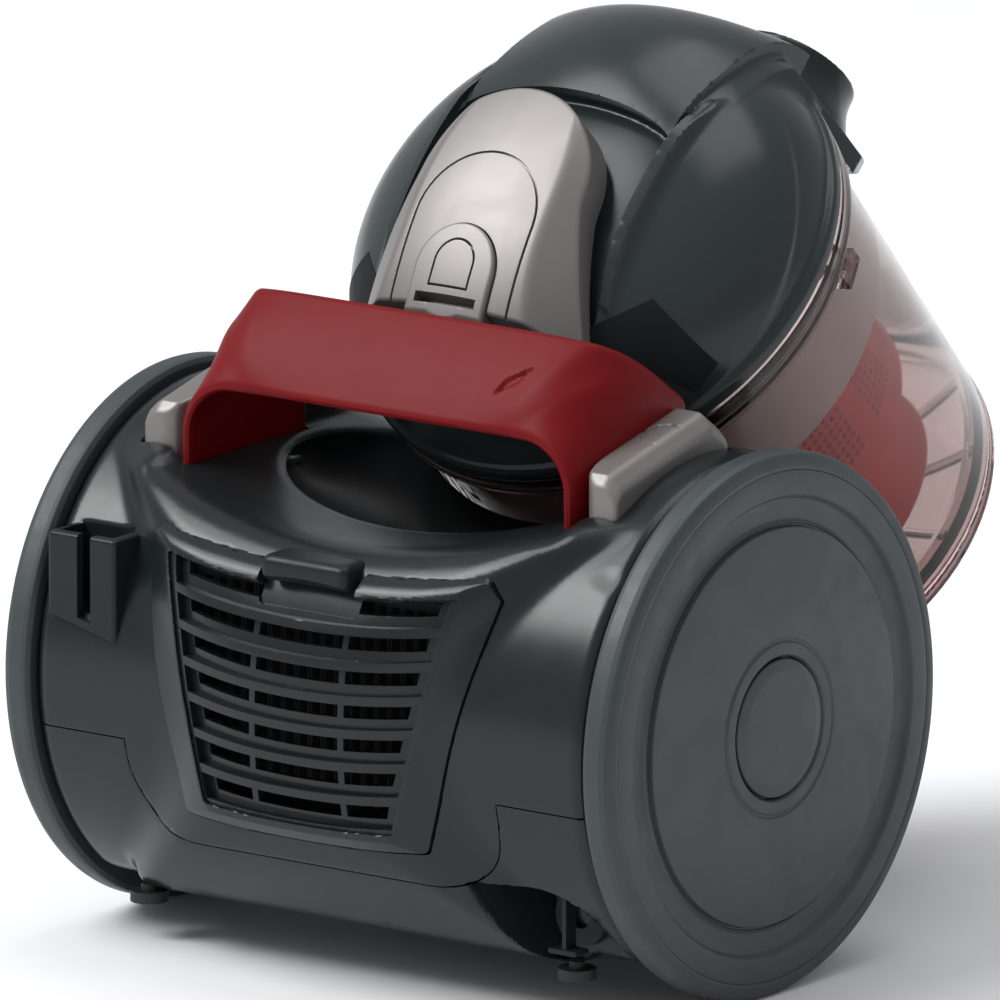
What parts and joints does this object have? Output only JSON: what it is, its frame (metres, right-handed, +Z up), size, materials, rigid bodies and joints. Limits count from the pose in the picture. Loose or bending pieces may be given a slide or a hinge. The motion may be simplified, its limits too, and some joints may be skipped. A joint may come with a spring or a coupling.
{
  "type": "canister vacuum cleaner",
  "caption": "Bagless canister vacuum cleaner with tilted clear dust bin, large side wheels, strap handle, foot pedals and rear exhaust cover.",
  "frame": {"origin": "on the floor under the middle of the whole cleaner's box", "axes": "+X to the cleaner's right, +Y to its front, where the hose port is, +Z up"},
  "size_m": [0.2824, 0.3731, 0.327],
  "materials": {
    "body_plastic": "fine satin moulding",
    "gloss_plastic": "smooth gloss moulding",
    "wheel_plastic": "fine matt moulding",
    "tyre_rubber": "soft tread",
    "black_plastic": "dark inner moulding",
    "red_plastic": "satin red moulding",
    "silver_plastic": "silver lacquer on plastic",
    "smoke_clear": "smoky clear plastic",
    "steel": "plain steel",
    "rubber": "soft seal",
    "board": "circuit board",
    "filter_paper": "pleated filter fleece",
    "foam": "open filter foam",
    "grey_plastic": "grey inner moulding"
  },
  "bodies": {
    "chassis": {"lower_shell": "body_plastic", "upper_shell": "body_plastic", "front_cover": "body_plastic", "parking_socket": "body_plastic", "exhaust_filter_frame": "black_plastic", "exhaust_filter_pleats": "filter_paper", "motor_housing": "black_plastic", "motor_can": "steel", "motor_inlet_seal": "rubber", "reel_spindle": "steel", "reel_spring_case": "black_plastic", "cord_outlet": "rubber", "control_board": "board", "power_switch": "black_plastic", "carry_handle": "red_plastic", "handle_screws": "steel", "shell_screws": "steel", "axle_pins": "steel", "axle_clips": "steel", "power_pedal_spring": "steel", "rewind_pedal_spring": "steel", "rear_feet": "rubber", "brake_pin": "steel"},
    "exhaust_cover": {"exhaust_cover": "body_plastic"},
    "cover_latch": {"cover_latch": "body_plastic"},
    "motor_rotor": {"motor_shaft": "steel", "motor_fan": "grey_plastic"},
    "cord_reel": {"cord_reel": "grey_plastic"},
    "brake_arm": {"brake_arm": "grey_plastic"},
    "power_pedal": {"power_pedal": "silver_plastic"},
    "rewind_pedal": {"rewind_pedal": "silver_plastic"},
    "left_wheel": {"left_wheel": "wheel_plastic", "left_tyre": "tyre_rubber", "left_hub_cap": "wheel_plastic"},
    "right_wheel": {"right_wheel": "wheel_plastic", "right_tyre": "tyre_rubber", "right_hub_cap": "wheel_plastic"},
    "caster_fork": {"caster_fork": "black_plastic", "caster_axle": "steel"},
    "caster_wheel": {"caster_wheel": "tyre_rubber"},
    "dust_bin": {"bin_vessel": "smoke_clear", "bin_seal": "rubber", "cyclone_band": "grey_plastic", "cyclone_shroud": "red_plastic", "lower_cone": "red_plastic", "vortex_tube": "grey_plastic", "lid_hinge_pin": "steel"},
    "bin_lid": {"bin_lid": "smoke_clear", "lid_seal": "rubber"},
    "lid_latch": {"lid_latch": "smoke_clear"},
    "bin_cap": {"bin_cap": "gloss_plastic", "cap_grip": "silver_plastic", "hose_port": "body_plastic", "filter_cage": "grey_plastic", "filter_foam": "foam", "button_spring": "steel"},
    "release_button": {"release_button": "silver_plastic"}
  },
  "joints": [
    {"name": "left_wheel_spin", "type": "hinge", "parent": "chassis", "child": "left_wheel", "pos_m": [-0.13, -0.077, 0.1], "axis": [1, 0, 0], "continuous": true},
    {"name": "right_wheel_spin", "type": "hinge", "parent": "chassis", "child": "right_wheel", "pos_m": [0.13, -0.077, 0.1], "axis": [1, 0, 0], "continuous": true},
    {"name": "caster_swivel", "type": "hinge", "parent": "chassis", "child": "caster_fork", "pos_m": [0, 0.088, 0.04], "axis": [0, 0, 1], "continuous": true},
    {"name": "caster_roll", "type": "hinge", "parent": "caster_fork", "child": "caster_wheel", "pos_m": [0, 0.079, 0.015], "axis": [1, 0, 0], "continuous": true},
    {"name": "power_pedal_press", "type": "slide", "parent": "chassis", "child": "power_pedal", "axis": [0, 0, -1], "range_m": [0, 0.004], "stiffness_N_per_m": 1500, "springref_m": -0.002, "deforming": ["power_pedal_spring"]},
    {"name": "rewind_pedal_press", "type": "slide", "parent": "chassis", "child": "rewind_pedal", "axis": [0, 0, -1], "range_m": [0, 0.004], "stiffness_N_per_m": 1500, "springref_m": -0.002, "deforming": ["rewind_pedal_spring"]},
    {"name": "brake_arm_tilt", "type": "hinge", "parent": "chassis", "child": "brake_arm", "pos_m": [0.096, -0.102, 0.158], "axis": [1, 0, 0], "range_deg": [0, 11]},
    {"name": "cord_reel_spin", "type": "hinge", "parent": "chassis", "child": "cord_reel", "pos_m": [0.088, -0.083, 0.092], "axis": [1, 0, 0], "continuous": true},
    {"name": "motor_spin", "type": "hinge", "parent": "chassis", "child": "motor_rotor", "pos_m": [-0.03, -0.089, 0.074], "axis": [1, 0, 0], "continuous": true},
    {"name": "exhaust_cover_pull", "type": "slide", "parent": "chassis", "child": "exhaust_cover", "axis": [0, -1, 0], "range_m": [0, 0.04]},
    {"name": "cover_latch_press", "type": "slide", "parent": "exhaust_cover", "child": "cover_latch", "axis": [0, 0, -1], "range_m": [0, 0.0015], "stiffness_N_per_m": 800, "springref_m": -0.001},
    {"name": "bin_lift", "type": "slide", "parent": "chassis", "child": "dust_bin", "axis": [0, 0.7071, 0.7071], "range_m": [0, 0.12]},
    {"name": "bin_lid_swing", "type": "hinge", "parent": "dust_bin", "child": "bin_lid", "pos_m": [0, 0.05368, 0.06358], "axis": [1, 0, 0], "range_deg": [-48, 0]},
    {"name": "lid_latch_tilt", "type": "hinge", "parent": "dust_bin", "child": "lid_latch", "pos_m": [0, 0.16081, 0.20606], "axis": [1, 0, 0], "range_deg": [0, 12], "stiffness_Nm_per_rad": 0.6, "springref_deg": -5.73},
    {"name": "cap_lift", "type": "slide", "parent": "dust_bin", "child": "bin_cap", "axis": [0, -0.7071, 0.7071], "range_m": [0, 0.03]},
    {"name": "release_button_press", "type": "slide", "parent": "bin_cap", "child": "release_button", "axis": [0, 0.7071, -0.7071], "range_m": [0, 0.0025], "stiffness_N_per_m": 700, "springref_m": -0.002}
  ],
  "couplings": [
    {"joint": "brake_arm_tilt", "follows": "rewind_pedal_press", "rad_per_m": 43.5}
  ]
}
